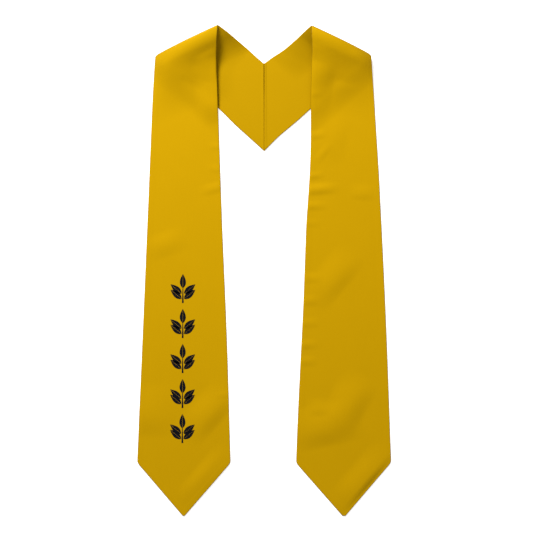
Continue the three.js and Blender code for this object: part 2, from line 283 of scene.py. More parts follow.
class StoleSeam(bpy.types.PropertyGroup):
    """The centre-back seam, where the two bands are sewn to each other."""

    ridge_height: length("Ridge height", "How far the right band's edge stands up", 0.55)
    ridge_place: length("Ridge place", "From the seam to the top of the ridge", 1.9)
    ridge_width: length("Ridge width", "Half the width of the ridge", 2.4)
    closing: number("Closing", "How much tighter the seam is at its foot", 3.2, min=1)
    cord_width: length("Cord width", "Thickness of the joining thread in the groove", 0.8)
    top_drop: length("Top drop", "How far the joining thread lies below the cloths at the top", 0.9)
    foot_drop: length("Foot drop", "How far it lies below them at the foot", 0.3)
    stitch_pitch: length("Stitch pitch", "Spacing of the stitches", 3.4)
    stitch_length: length("Stitch length", "How far a stitch reaches across the seam", 2.0)
    stitch_width: length("Stitch width", "Thickness of the thread", 0.32)
    stitch_slant: angle("Stitch slant", "How far a stitch turns from straight across", 24)
    stitch_scatter: angle("Stitch scatter", "How much the slant varies", 9)
    seed: IntProperty(name="Seed", description="Picks how the stitches vary", default=4)


class StolePrint(bpy.types.PropertyGroup):
    """The printed column of laurel sprigs on the left front."""

    count: IntProperty(name="Sprigs", description="Number of sprigs in the column", default=5, min=1)
    height: length("Sprig height", "From the foot of the stem to the top leaf's tip", 46.6)
    pitch: length("Sprig pitch", "Between the middles of two sprigs", 56)
    first: length("First sprig", "From the crease to the middle of the first sprig", 398)
    shift: length("Shift", "From the middle of the band towards the neck", -2.5)
    leaf_length: length("Leaf length", "Length of a side leaf", 23)
    leaf_width: length("Leaf width", "Width of a side leaf", 9.4)
    leaf_pairs: IntProperty(name="Leaf pairs", description="Pairs of side leaves", default=2, min=1)
    leaf_angle: angle("Leaf angle", "Between a side leaf and the stem", 50)
    vein_width: length("Vein width", "Width of the bare line down a leaf", 0.3)
    stem_width: length("Stem width", "Width of the stem at its foot", 2.8)
    film: length("Print thickness", "Thickness of the printed film", 0.12)
    ink: colour("Ink", "Colour of the print", 0.004, 0.004, 0.007)


class StoleStage(bpy.types.PropertyGroup):
    """The camera, the lights and the table."""

    lens: number("Lens", "Focal length in millimetres", 100, min=1)
    frame_width: length("Frame width", "Width of table that the picture takes in", 853)
    aim_x: length("Aim across", "The picture's middle, right of the stole's middle", 3.8)
    aim_y: length("Aim along", "The picture's middle, above the stole's middle", 7.9)
    key_power: number("Key light", "Power of the key light in watts", 118)
    fill_power: number("Fill light", "Power of the fill light in watts", 6)
    sky: number("Sky", "Strength of the light from all round", 0.28)


GROUPS = {
    "stole_cut": StoleCut,
    "stole_lay": StoleLay,
    "stole_cloth": StoleCloth,
    "stole_seam": StoleSeam,
    "stole_print": StolePrint,
    "stole_stage": StoleStage,
}


def mix(a, b, t):
    return a + (b - a) * t


def bump(x):
    return np.where(np.abs(x) < 1, (1 - np.minimum(x * x, 1)) ** 2, 0)


def ease(x, low, high):
    t = np.clip((x - low) / (high - low), 0, 1)
    return t * t * (3 - 2 * t)


def soft_least(a, b, reach):
    t = np.clip(0.5 + 0.5 * (b - a) / reach, 0, 1)
    return mix(b, a, t) - reach * t * (1 - t)


class BandLay:
    """Places points of a flat band, given as along and across in metres, in the frame's axes. x is
    measured outwards from the centre back, and the left band is mirrored at the end."""

    # The search along an edge, and the least straight that leads down from a crest.
    SEARCH_STEPS = 40
    SEARCH_REACH = 0.1 * MM
    LEAST_DROP = 1 * MM

    # The left band's share of the seam's ridge, how far from the crease its ends round off in crease
    # radii, between which shares of the seam it closes, and where the allowance ends, as shares of it.
    LEFT_RIDGE = 0.35
    ROUNDING_REACH = 4
    CLOSING_REACH = (0.25, 0.55)
    ALLOWANCE_FADE = (0.85, 1.1)

    # The mesh's rows at the seam and the tip, its facets round the loop as a share of the others and by
    # their turn, the room in which the rows turn square, and the columns near an edge, which take up at
    # most one of so many parts of the breadth.
    FINE_STEP = 0.7 * MM
    SEAM_ROWS = 6
    LOOP_FACET = 0.8
    LOOP_TURN = 0.16
    TURNING_ROOM = 20 * MM
    TIP_LENGTH = 4 * MM
    NEAR_COLUMNS = np.array([0, 0.12, 0.3, 0.6, 1.0, 1.5, 2.2, 3.2, 4.8, 7, 9.2]) * MM
    NEAR_PARTS = 4

    def __init__(self, scene):
        self.cut, self.lay, self.cloth = scene.stole_cut, scene.stole_lay, scene.stole_cloth
        self.seam = scene.stole_seam
        lay = self.lay
        band = 2 * self.cloth.thickness + self.cloth.layer_gap
        self.table_level = band / 2
        self.stacked_level = self.table_level + band + self.cloth.band_gap
        crease_angle = (math.pi / 2 - lay.front_splay - lay.back_slope) / 2
        self.band_angle = (math.pi / 2 - lay.front_splay + lay.back_slope) / 2
        self.along_crease = np.array([-math.cos(crease_angle), math.sin(crease_angle)])
        self.off_crease = np.array([-math.sin(crease_angle), -math.cos(crease_angle)])
        self.point_start = self.cut.front_length - self.cut.point_height
        self.make_loop()
        self.seam_row = [self.edge_where(side, -lay.neck_spacing, self.seam_test) for side in (1, -1)]
        self.heel_row = self.crease_row(self.begin)
        corner, heel = (
            self.lay_out(row[1], -self.half_width(row[1])) for row in (self.seam_row, self.heel_row)
        )
        self.back_corner = corner
        self.seam_top = self.lay_out(self.seam_row[0], self.half_width(self.seam_row[0]))[1]
        self.seam_length = self.seam_top - corner[1]
        self.back_edge = (heel - corner) / np.linalg.norm(heel - corner)
        self.shift_y = CAD_BOX[0].y - self.lay_out(self.cut.front_length, 0)[1]

    def make_loop(self):
        """The loop at a shoulder as a chain of straights and arcs. heading is the cloth's direction,
        from half a turn on the back, where it runs out to the crease, to 0 on the front."""
        lay = self.lay
        heel, rise, fall = lay.heel_angle, lay.rise_angle, lay.fall_angle
        half, quarter = math.pi, math.pi / 2
        climb = (
            lay.heel_radius * (1 - math.cos(heel))
            + lay.under_length * math.sin(heel)
            + lay.crease_radius * (math.cos(heel) + math.cos(rise))
            + lay.rise_length * math.sin(rise)
            + lay.crest_radius * (1 - math.cos(rise))
        )
        drop = climb - (self.stacked_level - self.table_level)
        drop -= (lay.crest_radius + lay.landing_radius) * (1 - math.cos(fall))
        chain = [
            (lay.heel_radius * heel, half, half - heel),
            (lay.under_length, half - heel, half - heel),
            (lay.crease_radius * (quarter - heel), half - heel, quarter),
            (lay.crease_radius * (quarter - rise), quarter, rise),
            (lay.rise_length, rise, rise),
            (lay.crest_radius * (rise + fall), rise, -fall),
            (max(drop, self.LEAST_DROP) / math.sin(fall), -fall, -fall),
            (lay.landing_radius * fall, -fall, 0.0),
        ]
        self.begin = -sum(piece[0] for piece in chain[:3])
        flat = self.cut.front_length * 2
        chain = [(flat, half, half), *chain, (flat, 0.0, 0.0)]
        start = self.begin - flat
        place = np.array([flat, self.table_level])
        rows = []
        for reach, heading, end in chain:
            bend = (end - heading) / reach
            rows.append((start, *place, heading, bend))
            place = place + self.walk(heading, bend, reach)
            start += reach
            if len(rows) == 4:
                outermost = place[0]
        self.chain = np.array(rows)
        self.chain[:, 1] -= outermost

    @staticmethod
    def walk(heading, bend, reach):
        """The step off the crease and up that a stretch of cloth of this length makes."""
        curved = np.abs(bend) > 1e-9
        safe = np.where(curved, bend, 1)
        end = heading + bend * reach
        off = np.where(curved, (np.sin(end) - np.sin(heading)) / safe, np.cos(heading) * reach)
        up = np.where(curved, (np.cos(heading) - np.cos(end)) / safe, np.sin(heading) * reach)
        return np.stack([off, up], axis=-1)

    def loop_at(self, run):
        """The distance off the crease line and the height at arc length run past the crease."""
        which = np.clip(np.searchsorted(self.chain[:, 0], run, side="right") - 1, 0, len(self.chain) - 1)
        start, off, up, heading, bend = np.moveaxis(self.chain[which], -1, 0)
        step = self.walk(heading, bend, run - start)
        return off + step[..., 0], up + step[..., 1]

    def half_width(self, along):
        """Half the width of the flat band at a distance past the crease, negative on the back."""
        cut = self.cut
        back_length = self.lay.neck_spacing / 2 / math.cos(self.lay.back_slope)
        back = mix(cut.shoulder_width, cut.centre_back_width, -along / back_length) / 2
        part = along / self.point_start
        front = mix(cut.shoulder_width, cut.hem_width, part) / 2
        front = front - 4 * cut.edge_hollow * part * (1 - np.minimum(part, 1))
        down = (along - self.point_start) / cut.point_height
        point = mix(cut.hem_width, cut.point_blunt, down) / 2
        return np.where(along < 0, back, soft_least(front, point, cut.corner_round / 2))

    def run_of(self, along, across):
        return along * math.sin(self.band_angle) + across * math.cos(self.band_angle)

    def lay_out(self, along, across):
        """The place on the table under a point of the flat band, before the shift along y."""
        off, _ = self.loop_at(self.run_of(along, across))
        beside = across * math.sin(self.band_angle) - along * math.cos(self.band_angle)
        place = np.multiply.outer(beside, self.along_crease) + np.multiply.outer(off, self.off_crease)
        return place + np.array([self.lay.neck_spacing / 2, 0])

    def edge_where(self, side, along, test):
        """Walks along one edge, on side +1 at the neck and -1 outside, to where test is zero."""
        for _ in range(self.SEARCH_STEPS):
            here = test(along, side * self.half_width(along))
            ahead = along + self.SEARCH_REACH
            slope = (test(ahead, side * self.half_width(ahead)) - here) / self.SEARCH_REACH
            along = along - here / slope
        return float(along)

    def seam_test(self, along, across):
        return self.lay_out(along, across)[0] - self.lay.seam_gap / 2

    def crease_row(self, run):
        return [self.edge_where(side, run, lambda a, b: self.run_of(a, b) - run) for side in (1, -1)]

    def past_back_edge(self, place):
        offset = place - self.back_corner
        return self.back_edge[1] * offset[..., 0] - self.back_edge[0] * offset[..., 1]

    def loop_share(self, along, across):
        """How much of the climb to the crease there is at a place across the band: the fold stands
        high at the neck and lies nearly flat at its outer end."""
        lay = self.lay
        part = across / self.half_width(along)
        lean = (lay.neck_share - lay.outer_share) / 2
        dome = lay.middle_share - (lay.neck_share + lay.outer_share) / 2
        return lay.middle_share + lean * part - dome * part**2

    def settled_height(self, run, height, part):
        """The loop's height where only a part of the climb is there. The crease keeps its bend."""
        low, high = self.chain[3], self.chain[5]
        lowered = (1 - part) * (low[2] - self.table_level)
        back = mix(self.table_level, height, part)
        front = mix(height, self.stacked_level, lowered / (high[2] - self.stacked_level))
        return np.where(run < low[0], back, np.where(run < high[0], height - lowered, front))

    def drawn(self, side, along, across):
        """How far across the band a point lies once its edges are drawn in."""
        part = across / self.half_width(along)
        place = along / self.cut.front_length
        inward = np.zeros(np.shape(part))
        for edge, middle, reach, pull in EDGE_PULLS[side]:
            here = bump((place - middle) / reach) * (part * edge > 0)
            inward += edge * pull * here
        free = ease(self.lay_out(along, across)[..., 0], 0, self.lay.seam_fade)
        return across - inward * self.lay.edge_pull * part**2 * free

    def folds(self, table, along, across, height):
        """The height that a table of folds gives at points of the flat band."""
        hem = self.cut.hem_width
        total = np.zeros(np.shape(along))
        for place, part, degrees, reach, spread, lean, lift in table:
            middle = place * self.cut.front_length
            down = along - middle
            over = across - part * self.half_width(middle)
            turn = math.radians(degrees)
            lengthwise = (over * math.cos(turn) - down * math.sin(turn)) / (reach * hem)
            sideways = (over * math.sin(turn) + down * math.cos(turn)) / (spread * hem)
            leaning = sideways / (1 - np.sign(sideways) * lean)
            total += lift * height * bump(lengthwise) * bump(leaning)
        return total

    def middle(self, side, along, across):
        """Points of the middle of the band's thickness, with x still outwards."""
        lay = self.lay
        part = self.loop_share(along, across)
        inset = self.half_width(along) + across
        across = self.drawn(side, along, across)
        run = self.run_of(along, across)
        off, up = self.loop_at(run)
        off_the_crease = run / (self.ROUNDING_REACH * lay.crease_radius)
        rounding = np.exp(-inset / lay.corner_pull) * np.exp(-(off_the_crease**2))
        rounded = np.multiply.outer(rounding * lay.corner_pull, self.off_crease)
        place = self.lay_out(along, across) + rounded
        drop = (self.stacked_level - self.table_level) * ease(self.past_back_edge(place), 0, lay.step_run)
        drop = drop * ease(off, 0, lay.step_ease)
        up = self.settled_height(run, up, part)
        up = up + self.folds(SOFT_FOLDS[side], along, across, lay.fold_height)
        up = up - np.where(run > 0, drop, 0)
        return np.stack([place[..., 0], place[..., 1] + self.shift_y, up], axis=-1)

    def stations(self):
        """Rows across the band, each as where it meets the neck edge and the outer edge."""
        facet = self.cloth.facet
        rows = [self.seam_row]
        for i in range(1, self.SEAM_ROWS + 1):
            rows.append([value + i * self.FINE_STEP / 2 for value in self.seam_row])

        def fill(to, spacing):
            start = rows[-1]
            count = max(1, round(max(abs(a - b) for a, b in zip(start, to)) / spacing))
            for i in range(1, count + 1):
                rows.append([mix(a, b, i / count) for a, b in zip(start, to)])

        fill(self.heel_row, facet)
        starts = self.chain[1:, 0]
        for start, end, bend in zip(starts, starts[1:], self.chain[1:, 4]):
            step = min(facet * self.LOOP_FACET, self.LOOP_TURN / max(abs(bend), 1e-6))
            count = max(1, round((end - start) / step))
            for i in range(1, count + 1):
                rows.append(self.crease_row(mix(start, end, i / count)))
        square = max(rows[-1]) + self.TURNING_ROOM
        fill([square, square], facet)
        fill([self.point_start, self.point_start], facet)
        tip = self.cut.front_length
        fill([tip - self.TIP_LENGTH, tip - self.TIP_LENGTH], facet)
        fill([tip, tip], self.FINE_STEP)
        return np.array(rows)

    def grid(self):
        """The flat band's points as a grid of rows and columns, closer together at the edges."""
        rows = self.stations()
        neck, outer = rows[:, 0], rows[:, 1]
        across_neck, across_outer = self.half_width(neck), -self.half_width(outer)
        breadth = np.hypot(neck - outer, across_neck - across_outer)
        near = self.NEAR_COLUMNS
        scale = np.minimum(1, breadth / (self.NEAR_PARTS * near[-1]))[:, None]
        count = round(self.cut.hem_width / self.cloth.facet)
        inner = np.linspace(0, 1, count)[None, 1:-1]
        left = near[None, :] * scale
        span = breadth[:, None]
        middle = mix(left[:, -1:], span - left[:, -1:], inner)
        part = np.hstack([left, middle, span - left[:, ::-1]]) / span
        along = mix(neck[:, None], outer[:, None], part)
        across = mix(across_neck[:, None], across_outer[:, None], part)
        return along, across

    def edge_distance(self, along, across):
        """How far a point is from the nearest edge of the flat band."""
        cut = self.cut
        slant = math.atan2(cut.hem_width / 2, cut.point_height)
        slope = np.where(along > self.point_start, math.cos(slant), 1)
        side = (self.half_width(along) - np.abs(across)) * slope
        place = self.lay_out(along, across)
        down = (self.seam_top - place[..., 1]) / self.seam_length
        tighter = mix(1, self.seam.closing, ease(down, *self.CLOSING_REACH))
        seam = np.where(along < 0, (place[..., 0] - self.lay.seam_gap / 2) * tighter, 1)
        tip = cut.front_length - along
        return np.maximum(np.minimum(np.minimum(side, seam), tip), 0)

    def surface(self, side, along, across):
        """The middle points of a grid, and the way the face looks at each."""
        points = self.middle(side, along, across)
        normal = np.cross(np.gradient(points, axis=0), np.gradient(points, axis=1))
        normal /= np.maximum(np.linalg.norm(normal, axis=-1, keepdims=True), 1e-12)
        return points, normal

    def rolled(self, inset):
        """The share of its height that a cloth has reached at a distance in from its rolled edge."""
        return np.sqrt(1 - (1 - np.minimum(inset / self.cloth.roll_radius, 1)) ** 2)

    def face_rise(self, side, along, across):
        """How far the face's outer side stands off the middle, with its roll, allowance and puckers."""
        cloth = self.cloth
        inset = self.edge_distance(along, across)
        fade = (part * cloth.allowance for part in self.ALLOWANCE_FADE)
        ridge = cloth.allowance_rise * (1 - ease(inset, *fade))
        ridge = ridge * ease(self.run_of(along, across), 0, self.lay.step_ease)
        pucker = self.folds(PUCKERS[side], along, across, self.lay.pucker_height)
        pucker = pucker * ease(inset, 0, 2 * cloth.roll_radius)
        return cloth.layer_gap / 2 + self.rolled(inset) * (cloth.thickness + ridge + pucker)

    def backing_rise(self, side, along, across):
        """How far the backing's outer side stands off the middle, with its roll and the seam's ridge."""
        cloth, seam = self.cloth, self.seam
        inset = self.edge_distance(along, across)
        from_seam = self.lay_out(along, across)[..., 0]
        ridge = bump((from_seam - seam.ridge_place) / seam.ridge_width) * (along < 0)
        ridge = ridge * seam.ridge_height * ease(inset, 0, cloth.roll_radius)
        if side == "left":
            ridge = ridge * self.LEFT_RIDGE
        return cloth.layer_gap / 2 + self.rolled(inset) * (cloth.thickness + ridge)

    def seam_ends(self):
        """The two ends of the groove between the bands, on the backing's level."""
        neck, outer = (
            self.middle("right", np.array(row), np.array(side * self.half_width(row)))
            for row, side in zip(self.seam_row, (1, -1))
        )
        level = self.cloth.layer_gap / 2 + self.cloth.thickness
        return [(0.0, float(end[1]), float(end[2] + level)) for end in (neck, outer)]


def to_frame(side, points):
    """Points with x outwards, turned to the frame's x."""
    turned = points.copy()
    if side == "left":
        turned[..., 0] *= -1
    return turned


def linked(name, data):
    """A new object in the scene."""
    made = bpy.data.objects.new(name, data)
    bpy.context.scene.collection.objects.link(made)
    return made


def finished_mesh(name, points, faces, material, uv=None, edge=None):
    """A smooth-shaded mesh object with its place in its mesh."""
    mesh = bpy.data.meshes.new(name)
    mesh.from_pydata(points.reshape(-1, 3).tolist(), [], faces.tolist())
    mesh.validate()
    if uv is not None:
        layer = mesh.uv_layers.new(name="cloth")
        loops = np.empty(len(mesh.loops), dtype=np.int32)
        mesh.loops.foreach_get("vertex_index", loops)
        layer.data.foreach_set("uv", uv.reshape(-1, 2)[loops].ravel())
    if edge is not None:
        attribute = mesh.attributes.new("edge_distance", "FLOAT", "POINT")
        attribute.data.foreach_set("value", edge.ravel())
    mesh.shade_smooth()
    mesh.set_sharp_from_angle(angle=SHARP_ANGLE)
    mesh.materials.append(material)
    return linked(name, mesh)


def shell_faces(rows, columns, flip):
    """Quads of a closed shell over two grids of points, the outer one first."""
    index = np.arange(rows * columns).reshape(rows, columns)
    layer = rows * columns

    def quads(a, b, c, d):
        return np.stack([a.ravel(), b.ravel(), c.ravel(), d.ravel()], axis=-1)

    outer = quads(index[:-1, :-1], index[1:, :-1], index[1:, 1:], index[:-1, 1:])
    inner = quads(index[:-1, :-1], index[:-1, 1:], index[1:, 1:], index[1:, :-1]) + layer
    rim = [index[:, 0], index[-1, 1:], index[-2::-1, -1], index[0, -2::-1]]
    ring = np.concatenate(rim)
    ring = ring[:-1] if ring[0] == ring[-1] else ring
    after = np.roll(ring, -1)
    sides = quads(ring, ring + layer, after + layer, after)
    faces = np.vstack([outer, inner, sides])
    return faces[:, ::-1] if flip else faces


def cloth_piece(scene, side, layer, material):
    """The face or the backing of one band as a closed shell with rolled edges."""
    band = BandLay(scene)
    along, across = band.grid()
    middle, normal = band.surface(side, along, across)
    towards = 1 if layer == "face" else -1
    rise = (band.face_rise if layer == "face" else band.backing_rise)(side, along, across)
    inner = np.full(rise.shape, band.cloth.layer_gap / 2) - INNER_SINK
    sheets = [to_frame(side, middle + normal * (towards * h)[..., None]) for h in (rise, inner)]
    points = np.stack(sheets)
    uv = np.stack([np.stack([across, along], axis=-1)] * 2)
    edge = np.stack([band.edge_distance(along, across)] * 2)
    flip = (side == "left") != (layer == "backing")
    faces = shell_faces(*along.shape, flip)
    return finished_mesh(f"{side}_{layer}_cloth", points, faces, material, uv, edge), band


def flat_area(band):
    """The area of one band's flat cut, from its half widths and its slanted seam end."""
    along = np.linspace(min(band.seam_row), band.cut.front_length, AREA_SAMPLES)
    width = 2 * band.half_width(along)
    low, high = sorted(band.seam_row)
    width = width * np.clip((along - low) / (high - low), 0, 1)
    return float(np.trapz(width, along))


class Wire:
    """An output of a node. Python's signs between wires and numbers add the Math nodes for them."""

    def __init__(self, nodes, node, name=0):
        self.nodes, self.node, self.socket = nodes, node, node.outputs[name]

    def __getitem__(self, name):
        """Another output of the same node."""
        return Wire(self.nodes, self.node, name)

    def math(self, operation, *operands, clamp=False):
        inputs = dict(enumerate((self, *operands)))
        return self.nodes.add("ShaderNodeMath", inputs, operation=operation, use_clamp=clamp)

    def __add__(self, other):
        return self.math("ADD", other)

    def __sub__(self, other):
        return self.math("SUBTRACT", other)

    def __rsub__(self, other):
        return self.nodes.add("ShaderNodeMath", {0: other, 1: self}, operation="SUBTRACT")

    def __mul__(self, other):
        return self.math("MULTIPLY", other)

    def __truediv__(self, other):
        return self.math("DIVIDE", other)

    def scaled(self, factor, plus):
        """This times a factor, plus an offset, in one node."""
        return self.math("MULTIPLY_ADD", factor, plus)


class Nodes:
    """Adds nodes to a tree."""

    def __init__(self, tree):
        self.tree = tree

    def add(self, kind, inputs=(), **settings):
        """The first output of a new node. Its inputs go by name or number, as values or as wires."""
        node = self.tree.nodes.new(kind)
        for name, value in settings.items():
            setattr(node, name, value)
        for key, value in dict(inputs).items():
            if isinstance(value, Wire):
                self.tree.links.new(value.socket, node.inputs[key])
            else:
                node.inputs[key].default_value = value
        return Wire(self, node) if node.outputs else None

    def join(self, parts):
        node = self.tree.nodes.new("GeometryNodeJoinGeometry")
        for part in parts:
            self.tree.links.new(part.socket, node.inputs[0])
        return Wire(self, node)

    def vector(self, x=0.0, y=0.0, z=0.0):
        return self.add("ShaderNodeCombineXYZ", {"X": x, "Y": y, "Z": z})

    def place(self):
        return self.add("ShaderNodeTexCoord")["Object"]

    def noise(self, place, scale, detail):
        inputs = {"Vector": place, "Scale": scale, "Detail": detail}
        return self.add("ShaderNodeTexNoise", inputs)["Fac"]

    def relief(self, height, strength, depth, **more):
        inputs = {"Height": height, "Strength": strength, "Distance": depth, **more}
        return self.add("ShaderNodeBump", inputs)

    def tinted(self, tint, tone):
        """A colour times a shade."""
        return self.add("ShaderNodeVectorMath", {0: tuple(tint), "Scale": tone}, operation="SCALE")


def node_group(name, kind, ins, outs):
    """A new node group's nodes and its inputs, with the kinds of its sockets given by their names."""
    tree = bpy.data.node_groups.new(name, kind)
    for way, sockets in (("INPUT", ins), ("OUTPUT", outs)):
        for label, value in sockets.items():
            tree.interface.new_socket(label, in_out=way, socket_type=f"NodeSocket{value}")
    nodes = Nodes(tree)
    return nodes, nodes.add("NodeGroupInput")


def satin_weave_group():
    """A satin weave: long warp floats side by side, each tied down once in every five picks."""
    ins = {"Flat": "Vector", "Thread pitch": "Float"}
    outs = {"Height": "Float", "Hollow": "Float"}
    nodes, given = node_group("satin weave", "ShaderNodeTree", ins, outs)
    flat = nodes.add("ShaderNodeSeparateXYZ", {0: given["Flat"]})
    warp = flat["X"] / given["Thread pitch"]
    across = warp.math("FRACT").scaled(2.0, plus=-1.0)
    crown = 1.0 - across * across
    floats = flat["Y"] / (given["Thread pitch"] * PICKS_PER_TIE)
    offset = warp.math("FLOOR").scaled(TIE_STEP, plus=floats)
    tie = (offset.math("FRACT") - 0.5).math("ABSOLUTE")
    dip = (tie - TIE_START).math("MULTIPLY", TIE_STEEPNESS, clamp=True)
    height = crown * (1.0 - dip)
    # Hollow is the mask for the painted shade in the weave's hollows between the threads.
    nodes.add("NodeGroupOutput", {"Height": height, "Hollow": 1.0 - height})
    return nodes.tree


def yarn_streaks_group():
    """Uneven yarns: faint streaks along the warp and slow cloudy changes from the dye."""
    ins = {"Flat": "Vector", "Depth": "Float"}
    outs = {"Tone": "Float", "Height": "Float"}
    nodes, given = node_group("yarn streaks", "ShaderNodeTree", ins, outs)
    stretched = nodes.add("ShaderNodeMapping", {"Vector": given["Flat"], "Scale": STREAK_SCALE})
    streak = nodes.noise(stretched, scale=1.0, detail=2.0)
    cloud = nodes.noise(given["Flat"], CLOUD_SCALE, detail=3.0)
    tone = (streak + cloud - 1.0).scaled(given["Depth"], plus=1.0)
    nodes.add("NodeGroupOutput", {"Tone": tone, "Height": streak})
    return nodes.tree


def rolled_edge_shade_group():
    """The turned edge: a mask for the painted shade, a darker line where the cloth rolls over at its
    edge.
    """
    ins = {"Distance": "Float", "Width": "Float"}
    nodes, given = node_group("rolled edge shade", "ShaderNodeTree", ins, {"Mask": "Float"})
    inside = given["Distance"].math("DIVIDE", given["Width"], clamp=True)
    nodes.add("NodeGroupOutput", {"Mask": 1.0 - inside})
    return nodes.tree


def material_nodes(name):
    """The nodes of a new material, with none in it yet."""
    material = bpy.data.materials.new(name)
    material.use_nodes = True
    material.node_tree.nodes.clear()
    return Nodes(material.node_tree)


def finish_material(nodes, inputs):
    """Ends a material's tree with its shader, which takes these inputs."""
    shader = nodes.add("ShaderNodeBsdfPrincipled", inputs)
    nodes.add("ShaderNodeOutputMaterial", {"Surface": shader})


def satin(name, tint, cloth, weave_group, streaks_group, edge_group):
    """Gold satin whose weave follows the flat cloth, with painted shade in the weave's hollows, along the
    rolled edges and where the cloth turns away from the view.
    """
    nodes = material_nodes(name)
    flat = nodes.add("ShaderNodeUVMap", uv_map="cloth")
    distance = nodes.add("ShaderNodeAttribute", attribute_name="edge_distance")["Fac"]

    def use(group, inputs):
        return nodes.add("ShaderNodeGroup", inputs, node_tree=group)

    weave = use(weave_group, {"Flat": flat, "Thread pitch": cloth.thread_pitch})
    streaks = use(streaks_group, {"Flat": flat, "Depth": STREAK_DEPTH})
    edge = use(edge_group, {"Distance": distance, "Width": cloth.roll_radius})
    # Painted shade: the weave's hollows between the threads are darkened in the colour.
    weave_shade = weave["Hollow"].scaled(-HOLLOW_SHADE, plus=WEAVE_BRIGHTNESS)
    # Painted shade: a darker line in the colour along the rolled edges, where the cloth turns over.
    edge_shade = edge["Mask"].scaled(-ROLLED_EDGE_SHADE, plus=1.0)
    # Painted shade: the colour darkens where the cloth turns away from the view, a dark outline at its
    # silhouettes.
    facing = nodes.add("ShaderNodeLayerWeight", {"Blend": 0.5})["Facing"]
    rim = nodes.add("ShaderNodeMapRange", {"Value": facing, **RIM_SHADE})
    tone = streaks["Tone"] * weave_shade * edge_shade * rim
    fine = nodes.relief(weave["Height"], strength=0.25, depth=0.02 * MM)
    yarns = nodes.relief(streaks["Height"], strength=0.3, depth=0.05 * MM, Normal=fine)
    looks = {
        "Base Color": nodes.tinted(tint, tone),
        "Roughness": cloth.roughness,
        "Metallic": cloth.lustre,
        "Specular IOR Level": 0.2,
        "Specular Tint": SPECULAR_GOLD,
        "Sheen Weight": cloth.sheen,
        "Sheen Roughness": 0.4,
        "Sheen Tint": SHEEN_GOLD,
        "Normal": yarns,
    }
    finish_material(nodes, looks)


def ink_material(tint):
    """The print's black film, with a fine grain from the cloth under it."""
    nodes = material_nodes("black print")
    grain = nodes.noise(nodes.place(), scale=1800.0, detail=2.0)
    looks = {
        "Base Color": (*tint, 1),
        "Roughness": grain.scaled(0.2, plus=0.42),
        "Specular IOR Level": 0.08,
        "Normal": nodes.relief(grain, strength=0.2, depth=0.05 * MM),
    }
    finish_material(nodes, looks)


def thread_material(tint):
    """Sewing thread with a fine twist."""
    nodes = material_nodes("sewing thread")
    tone = nodes.noise(nodes.place(), scale=5000.0, detail=1.0).scaled(0.4, plus=0.8)
    looks = {
        "Base Color": nodes.tinted(tint, tone),
        "Roughness": 0.55,
        "Specular IOR Level": 0.2,
        "Specular Tint": SPECULAR_GOLD,
    }
    finish_material(nodes, looks)


def table_material():
    """A plain pale table top."""
    nodes = material_nodes("pale table")
    cloud = nodes.noise(nodes.place(), scale=3.0, detail=2.0)
    looks = {
        "Base Color": (0.93, 0.93, 0.93, 1),
        "Roughness": cloud.scaled(0.1, plus=0.6),
        "Emission Color": (1, 1, 1, 1),
        "Emission Strength": 0.6,
    }
    finish_material(nodes, looks)


def materials(scene):
    """The stole's materials, made once."""
    if "face satin" not in bpy.data.materials:
        groups = (satin_weave_group(), yarn_streaks_group(), rolled_edge_shade_group())
        cloth = scene.stole_cloth
        satin("face satin", cloth.gold, cloth, *groups)
        satin("backing satin", cloth.backing_gold, cloth, *groups)
        ink_material(scene.stole_print.ink)
        thread_material(cloth.thread_gold)
        table_material()
    return bpy.data.materials


def size_inputs(group, labels):
    """A property group's sizes under the names of the sockets that take them."""
    return {label: getattr(group, label.lower().replace(" ", "_")) for label in labels}


def finish_tree(nodes, parts, material):
    """Ends a geometry node tree with its parts as one real mesh of one material."""
    real = nodes.add("GeometryNodeRealizeInstances", {"Geometry": nodes.join(parts)})
    smooth = nodes.add("GeometryNodeSetShadeSmooth", {"Geometry": real})
    made = nodes.add("GeometryNodeSetMaterial", {"Geometry": smooth, "Material": material})
    nodes.add("NodeGroupOutput", {"Geometry": made})
    return nodes.tree


def grown(name, tree, inputs):
    """The mesh that a geometry node tree makes, as a plain mesh."""
    carrier = linked(name, bpy.data.meshes.new(name))
    modifier = carrier.modifiers.new("grow", "NODES")
    modifier.node_group = tree
    sockets = {item.name: item.identifier for item in tree.interface.items_tree if item.in_out == "INPUT"}
    for label, value in inputs.items():
        modifier[sockets[label]] = value
    evaluated = carrier.evaluated_get(bpy.context.evaluated_depsgraph_get())
    mesh = bpy.data.meshes.new_from_object(evaluated)
    carrier.modifiers.clear()
    bpy.data.objects.remove(carrier)
    return mesh


def flat_grid(nodes, columns, rows):
    """A unit grid, with its points' places across from its middle and up from its foot."""
    sizes = {"Size X": 1.0, "Size Y": 1.0, "Vertices X": columns, "Vertices Y": rows}
    place = nodes.add("ShaderNodeSeparateXYZ", {0: nodes.add("GeometryNodeInputPosition")})
    return nodes.add("GeometryNodeMeshGrid", sizes), place["X"], place["Y"] + 0.5


def set_places(nodes, grid, x, y):
    return nodes.add("GeometryNodeSetPosition", {"Geometry": grid, "Position": nodes.vector(x, y)})


def half_leaf(nodes, given, hand):
    """One half of a flat leaf, from its foot at the origin along +Y, beside its midrib."""
    grid, over, up = flat_grid(nodes, *LEAF_GRID)
    swell = (up.math("POWER", LEAF_FULLNESS) * math.pi).math("SINE")
    breadth = swell * given["Leaf width"] * 0.5
    x = given["Vein width"] * 0.5 + (over + 0.5) * breadth
    return set_places(nodes, grid, x * hand, up * given["Leaf length"])


